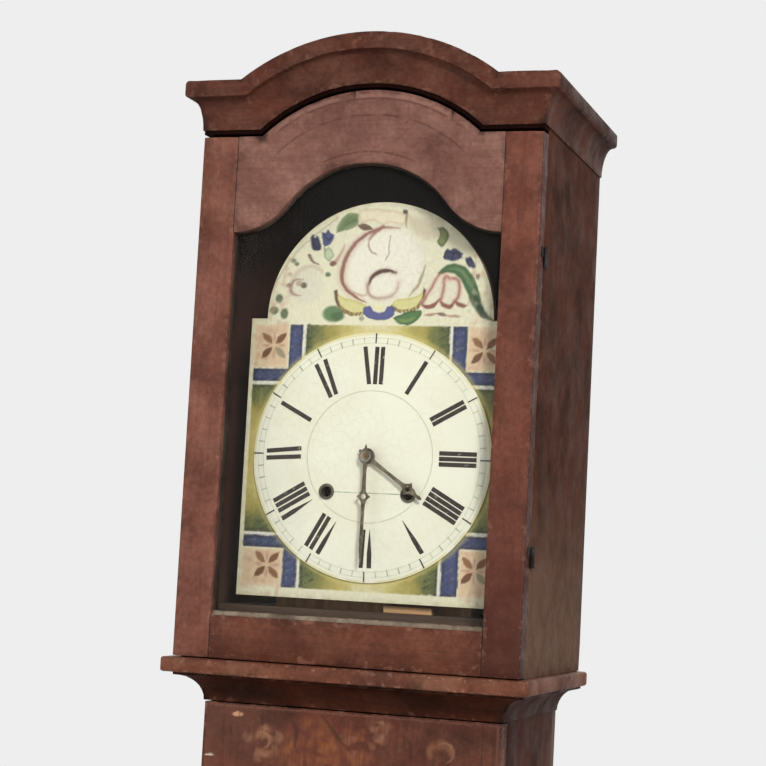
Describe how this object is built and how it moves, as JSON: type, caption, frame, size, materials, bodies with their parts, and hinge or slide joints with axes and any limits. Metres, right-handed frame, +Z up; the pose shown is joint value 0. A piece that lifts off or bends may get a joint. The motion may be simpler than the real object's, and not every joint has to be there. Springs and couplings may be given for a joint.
{
  "type": "longcase clock",
  "caption": "Painted longcase clock with an arched hood, ogee glazed door, painted arched dial, striking weight-driven movement, pendulum, trunk door and plinth base.",
  "frame": {"origin": "middle of the footprint, on the floor", "axes": "+Z up, the dial faces -Y, +X to the right of someone facing the dial"},
  "size_m": [0.36, 0.2536, 2.1305],
  "materials": {
    "painted_pine": "worn red-brown paint on pine",
    "dark_moulding": "worn red-brown paint, dark in the hollows",
    "bare_pine": "old bare pine",
    "movement_wood": "planed beech",
    "pale_wood": "fresh softwood",
    "dial_paint": "oil paint on wood, varnished",
    "disc_white": "white oil paint on turned wood",
    "glass": "old window glass",
    "iron": "dark iron",
    "steel": "blued and worn steel",
    "brass": "aged brass",
    "pewter": "dull pewter",
    "gut": "gut line"
  },
  "bodies": {
    "case": {"base_skirting": "dark_moulding", "base_front": "painted_pine", "base_sides": "painted_pine", "backboard": "bare_pine", "waist_moulding": "dark_moulding", "trunk_side_left": "painted_pine", "trunk_side_right": "painted_pine", "trunk_rails": "painted_pine", "throat_moulding": "dark_moulding", "seatboard": "bare_pine", "seatboard_wedge": "pale_wood", "front_plate": "movement_wood", "back_plate": "movement_wood", "movement_pillars": "movement_wood", "dial_board": "dial_paint", "chapter_disc": "disc_white", "winding_grommets": "pewter", "bell": "brass", "bell_stand": "steel", "suspension_cock": "steel", "trunk_hinge_plates": "iron", "going_line": "gut", "strike_line": "gut"},
    "hood": {"hood_side_left": "painted_pine", "hood_side_right": "painted_pine", "hood_roof": "dark_moulding", "hood_head_board": "dark_moulding", "hood_cornice": "painted_pine", "hood_base_frame": "painted_pine", "hood_hinge_plates": "iron"},
    "hood_door": {"hood_door_stile_left": "painted_pine", "hood_door_stile_right": "painted_pine", "hood_door_arch_rail": "painted_pine", "hood_door_bottom_rail": "painted_pine", "hood_door_glass": "glass", "hood_door_bead": "painted_pine", "hood_door_hinges": "iron"},
    "trunk_door": {"trunk_door": "painted_pine", "trunk_door_hinges": "iron"},
    "trunk_latch": {"trunk_door_latch": "brass"},
    "third_wheel": {"third_wheel": "brass"},
    "centre_arbor": {"centre_wheel": "brass", "minute_hand": "brass", "hand_nut": "pewter"},
    "hour_pipe": {"hour_wheel": "brass", "hour_hand": "brass"},
    "minute_wheel": {"minute_wheel": "brass"},
    "escape_wheel": {"escape_wheel": "brass"},
    "going_great_wheel": {"going_great_wheel": "brass"},
    "pendulum": {"pendulum_rod": "steel", "pendulum_bob": "brass"},
    "anchor": {"anchor": "steel"},
    "going_weight": {"going_weight": "iron"},
    "going_drum": {"going_drum": "brass"},
    "strike_weight": {"strike_weight": "iron"},
    "strike_drum": {"strike_drum": "brass"},
    "pin_wheel": {"pin_wheel": "brass"},
    "strike_great_wheel": {"strike_great_wheel": "brass"},
    "fly": {"fly": "brass"},
    "hammer": {"hammer": "steel"}
  },
  "joints": [
    {"name": "hood_slide", "type": "slide", "parent": "case", "child": "hood", "axis": [0, -1, 0], "range_m": [0, 0.2]},
    {"name": "hood_door_hinge", "type": "hinge", "parent": "hood", "child": "hood_door", "pos_m": [0.1657, -0.0925, 1.797], "axis": [0, 0, 1], "range_deg": [0, 110]},
    {"name": "trunk_door_hinge", "type": "hinge", "parent": "case", "child": "trunk_door", "pos_m": [0.1442, -0.0605, 1.056], "axis": [0, 0, 1], "range_deg": [0, 110]},
    {"name": "trunk_latch_turn", "type": "hinge", "parent": "trunk_door", "child": "trunk_latch", "pos_m": [-0.11, -0.07825, 1.07235], "axis": [0, -1, 0], "range_deg": [0, 90]},
    {"name": "third_wheel_spin", "type": "hinge", "parent": "case", "child": "third_wheel", "pos_m": [0.0193, 0.00545, 1.7735], "axis": [0, 1, 0], "continuous": true},
    {"name": "minute_hand_turn", "type": "hinge", "parent": "case", "child": "centre_arbor", "pos_m": [0.004, -0.06855, 1.747], "axis": [0, 1, 0], "continuous": true},
    {"name": "hour_hand_turn", "type": "hinge", "parent": "case", "child": "hour_pipe", "pos_m": [0.004, -0.06855, 1.747], "axis": [0, 1, 0], "continuous": true},
    {"name": "minute_wheel_spin", "type": "hinge", "parent": "case", "child": "minute_wheel", "pos_m": [0.004, -0.05055, 1.723], "axis": [0, 1, 0], "continuous": true},
    {"name": "escape_wheel_spin", "type": "hinge", "parent": "case", "child": "escape_wheel", "pos_m": [0.004, -0.00955, 1.79575], "axis": [0, 1, 0], "continuous": true},
    {"name": "going_great_wheel_spin", "type": "hinge", "parent": "case", "child": "going_great_wheel", "pos_m": [0.0434, -0.02955, 1.7136], "axis": [0, 1, 0], "continuous": true},
    {"name": "pendulum_swing", "type": "hinge", "parent": "case", "child": "pendulum", "pos_m": [0.004, 0.05345, 1.82603], "axis": [0, 1, 0], "range_deg": [-3, 3]},
    {"name": "anchor_rock", "type": "hinge", "parent": "case", "child": "anchor", "pos_m": [0.004, -0.00955, 1.82603], "axis": [0, 1, 0], "range_deg": [-3, 3]},
    {"name": "going_weight_fall", "type": "slide", "parent": "case", "child": "going_weight", "axis": [0, 0, -1], "range_m": [0, 1.1], "deforming": ["going_line"]},
    {"name": "going_drum_spin", "type": "hinge", "parent": "case", "child": "going_drum", "pos_m": [0.0434, -0.00555, 1.7136], "axis": [0, 1, 0], "range_deg": [0, 2959.9]},
    {"name": "strike_weight_fall", "type": "slide", "parent": "case", "child": "strike_weight", "axis": [0, 0, -1], "range_m": [0, 1.1], "deforming": ["strike_line"]},
    {"name": "strike_drum_spin", "type": "hinge", "parent": "case", "child": "strike_drum", "pos_m": [-0.0354, -0.00555, 1.7136], "axis": [0, -1, 0], "range_deg": [0, 2959.9]},
    {"name": "pin_wheel_spin", "type": "hinge", "parent": "case", "child": "pin_wheel", "pos_m": [-0.04437, 0.01245, 1.76447], "axis": [0, 1, 0], "continuous": true},
    {"name": "strike_great_wheel_spin", "type": "hinge", "parent": "case", "child": "strike_great_wheel", "pos_m": [-0.0354, 0.02045, 1.7136], "axis": [0, 1, 0], "continuous": true},
    {"name": "fly_spin", "type": "hinge", "parent": "case", "child": "fly", "pos_m": [-0.03906, -0.00755, 1.7946], "axis": [0, 1, 0], "continuous": true},
    {"name": "hammer_swing", "type": "hinge", "parent": "case", "child": "hammer", "pos_m": [-0.07637, 0.01545, 1.77647], "axis": [0, -1, 0], "range_deg": [0, 8], "stiffness_Nm_per_rad": 0.08}
  ],
  "couplings": [
    {"joint": "minute_hand_turn", "follows": "third_wheel_spin", "ratio": -0.13333},
    {"joint": "hour_hand_turn", "follows": "third_wheel_spin", "ratio": -0.011111},
    {"joint": "minute_wheel_spin", "follows": "third_wheel_spin", "ratio": 0.044444},
    {"joint": "going_great_wheel_spin", "follows": "third_wheel_spin", "ratio": 0.013333},
    {"joint": "escape_wheel_spin", "follows": "third_wheel_spin", "ratio": -8},
    {"joint": "anchor_rock", "follows": "pendulum_swing", "ratio": 1},
    {"joint": "going_drum_spin", "follows": "going_weight_fall", "rad_per_m": 46.948},
    {"joint": "strike_drum_spin", "follows": "strike_weight_fall", "rad_per_m": 46.948},
    {"joint": "strike_great_wheel_spin", "follows": "pin_wheel_spin", "ratio": -0.1},
    {"joint": "fly_spin", "follows": "pin_wheel_spin", "ratio": -7.5}
  ]
}
